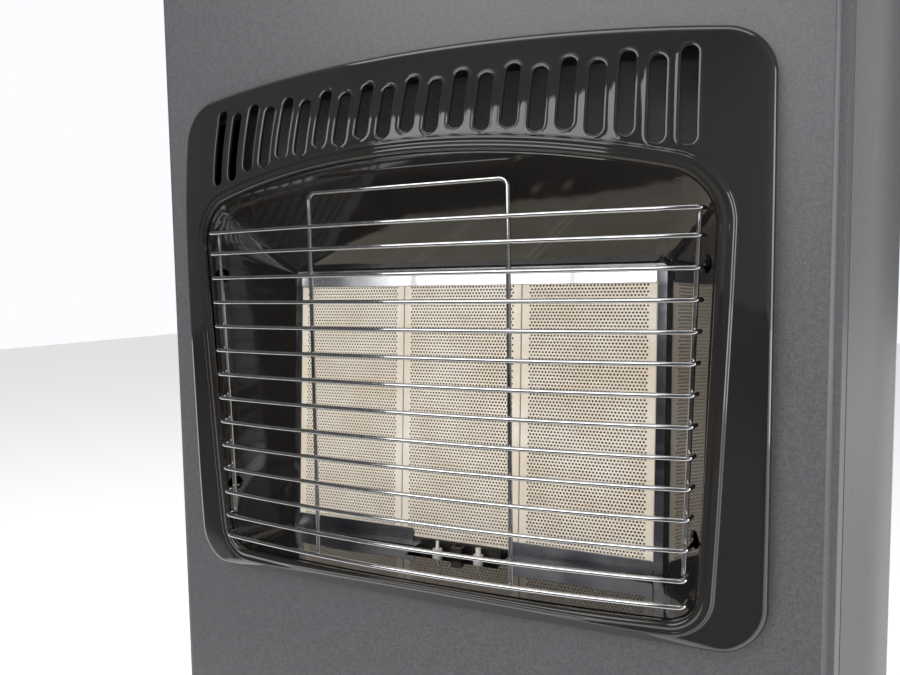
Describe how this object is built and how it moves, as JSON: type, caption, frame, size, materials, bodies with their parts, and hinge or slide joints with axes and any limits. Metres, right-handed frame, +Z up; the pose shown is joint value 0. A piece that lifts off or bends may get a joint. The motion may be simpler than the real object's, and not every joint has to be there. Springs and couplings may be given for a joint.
{
  "type": "portable gas cabinet heater",
  "caption": "Free-standing gas cabinet heater on castors: three-plaque radiant burner in a black domed surround with a chromed wire guard, top controls and a lift-out rear cover",
  "frame": {"origin": "on the floor, under the middle of the cabinet's width and depth", "axes": "+Z up, -Y is the front with the burner, +X is the side with the control knob when seen from the front's right"},
  "size_m": [0.48, 0.4399, 0.76],
  "materials": {
    "cabinet_powder_coat": "satin powder coat with a fine mottled grain",
    "dark_moulding": "fine spark texture",
    "black_gloss_enamel": "glossy brown-black enamel",
    "bare_sheet_steel": "zinc plated sheet",
    "printed_fascia": "satin black sheet",
    "chromed_wire": "bright plated wire",
    "plaque_ceramic": "cream perforated ceramic",
    "fibre_seal": "white ceramic fibre sheet",
    "polished_steel": "polished stainless strip",
    "cast_alloy": "as cast",
    "gas_tube_metal": "drawn tube",
    "turned_brass": "turned",
    "white_ceramic": "glazed insulator",
    "zinc_steel": "zinc plated",
    "knob_plastic": "black moulding",
    "castor_tread": "black nylon wheel"
  },
  "bodies": {
    "cabinet": {"front_panel": "cabinet_powder_coat", "left_side_panel": "cabinet_powder_coat", "right_side_panel": "cabinet_powder_coat", "rear_rails": "cabinet_powder_coat", "top_cover": "dark_moulding", "left_side_grip": "dark_moulding", "right_side_grip": "dark_moulding", "bezel": "black_gloss_enamel", "reflector": "black_gloss_enamel", "base_tray": "bare_sheet_steel", "rear_top_rail": "bare_sheet_steel", "heat_shield": "bare_sheet_steel", "heat_deflector": "bare_sheet_steel", "burner_box": "bare_sheet_steel", "jet_rail": "bare_sheet_steel", "valve_bracket": "bare_sheet_steel", "pilot_bracket": "bare_sheet_steel", "control_fascia": "printed_fascia", "wire_guard": "chromed_wire", "plaque_left": "plaque_ceramic", "plaque_middle": "plaque_ceramic", "plaque_right": "plaque_ceramic", "plaque_seal": "fibre_seal", "top_retainer_strip": "polished_steel", "left_foot_retainer_strip": "polished_steel", "right_foot_retainer_strip": "polished_steel", "mixing_tube_left": "cast_alloy", "mixing_tube_middle": "cast_alloy", "mixing_tube_right": "cast_alloy", "gas_valve": "cast_alloy", "feed_pipe_left": "gas_tube_metal", "feed_pipe_middle": "gas_tube_metal", "feed_pipe_right": "gas_tube_metal", "pilot_pipe": "gas_tube_metal", "injectors": "turned_brass", "jet_blocks": "turned_brass", "inlet_nozzle": "turned_brass", "pilot_burner": "turned_brass", "ignition_electrode": "white_ceramic", "flame_sensor": "white_ceramic", "castor_plates": "zinc_steel", "igniter_body": "knob_plastic"},
    "rear_cover_body": {"rear_cover": "cabinet_powder_coat"},
    "spindle_body": {"valve_spindle": "zinc_steel"},
    "knob_body": {"control_knob": "knob_plastic"},
    "button_body": {"igniter_button": "knob_plastic"},
    "fork_front_left_body": {"castor_fork_front_left": "zinc_steel", "castor_axle_front_left": "zinc_steel"},
    "wheel_front_left_body": {"castor_wheel_front_left": "castor_tread"},
    "fork_front_right_body": {"castor_fork_front_right": "zinc_steel", "castor_axle_front_right": "zinc_steel"},
    "wheel_front_right_body": {"castor_wheel_front_right": "castor_tread"},
    "fork_rear_left_body": {"castor_fork_rear_left": "zinc_steel", "castor_axle_rear_left": "zinc_steel"},
    "wheel_rear_left_body": {"castor_wheel_rear_left": "castor_tread"},
    "fork_rear_right_body": {"castor_fork_rear_right": "zinc_steel", "castor_axle_rear_right": "zinc_steel"},
    "wheel_rear_right_body": {"castor_wheel_rear_right": "castor_tread"}
  },
  "joints": [
    {"name": "knob_turn", "type": "hinge", "parent": "cabinet", "child": "spindle_body", "pos_m": [0.15, -0.127, 0.745], "axis": [0, 0, -1], "range_deg": [0, 240]},
    {"name": "knob_press", "type": "slide", "parent": "spindle_body", "child": "knob_body", "axis": [0, 0, -1], "range_m": [0, 0.004], "stiffness_N_per_m": 600},
    {"name": "igniter_press", "type": "slide", "parent": "cabinet", "child": "button_body", "axis": [0, 0, -1], "range_m": [0, 0.006], "stiffness_N_per_m": 500},
    {"name": "rear_cover_lift", "type": "slide", "parent": "cabinet", "child": "rear_cover_body", "axis": [0, 0, 1], "range_m": [0, 0.65]},
    {"name": "castor_swivel_front_left", "type": "hinge", "parent": "cabinet", "child": "fork_front_left_body", "pos_m": [-0.18, -0.112, 0.061], "axis": [0, 0, 1], "continuous": true},
    {"name": "castor_roll_front_left", "type": "hinge", "parent": "fork_front_left_body", "child": "wheel_front_left_body", "pos_m": [-0.18, -0.09, 0.025], "axis": [1, 0, 0], "continuous": true},
    {"name": "castor_swivel_front_right", "type": "hinge", "parent": "cabinet", "child": "fork_front_right_body", "pos_m": [0.18, -0.112, 0.061], "axis": [0, 0, 1], "continuous": true},
    {"name": "castor_roll_front_right", "type": "hinge", "parent": "fork_front_right_body", "child": "wheel_front_right_body", "pos_m": [0.18, -0.09, 0.025], "axis": [1, 0, 0], "continuous": true},
    {"name": "castor_swivel_rear_left", "type": "hinge", "parent": "cabinet", "child": "fork_rear_left_body", "pos_m": [-0.18, 0.158, 0.061], "axis": [0, 0, 1], "continuous": true},
    {"name": "castor_roll_rear_left", "type": "hinge", "parent": "fork_rear_left_body", "child": "wheel_rear_left_body", "pos_m": [-0.18, 0.18, 0.025], "axis": [1, 0, 0], "continuous": true},
    {"name": "castor_swivel_rear_right", "type": "hinge", "parent": "cabinet", "child": "fork_rear_right_body", "pos_m": [0.18, 0.158, 0.061], "axis": [0, 0, 1], "continuous": true},
    {"name": "castor_roll_rear_right", "type": "hinge", "parent": "fork_rear_right_body", "child": "wheel_rear_right_body", "pos_m": [0.18, 0.18, 0.025], "axis": [1, 0, 0], "continuous": true}
  ]
}
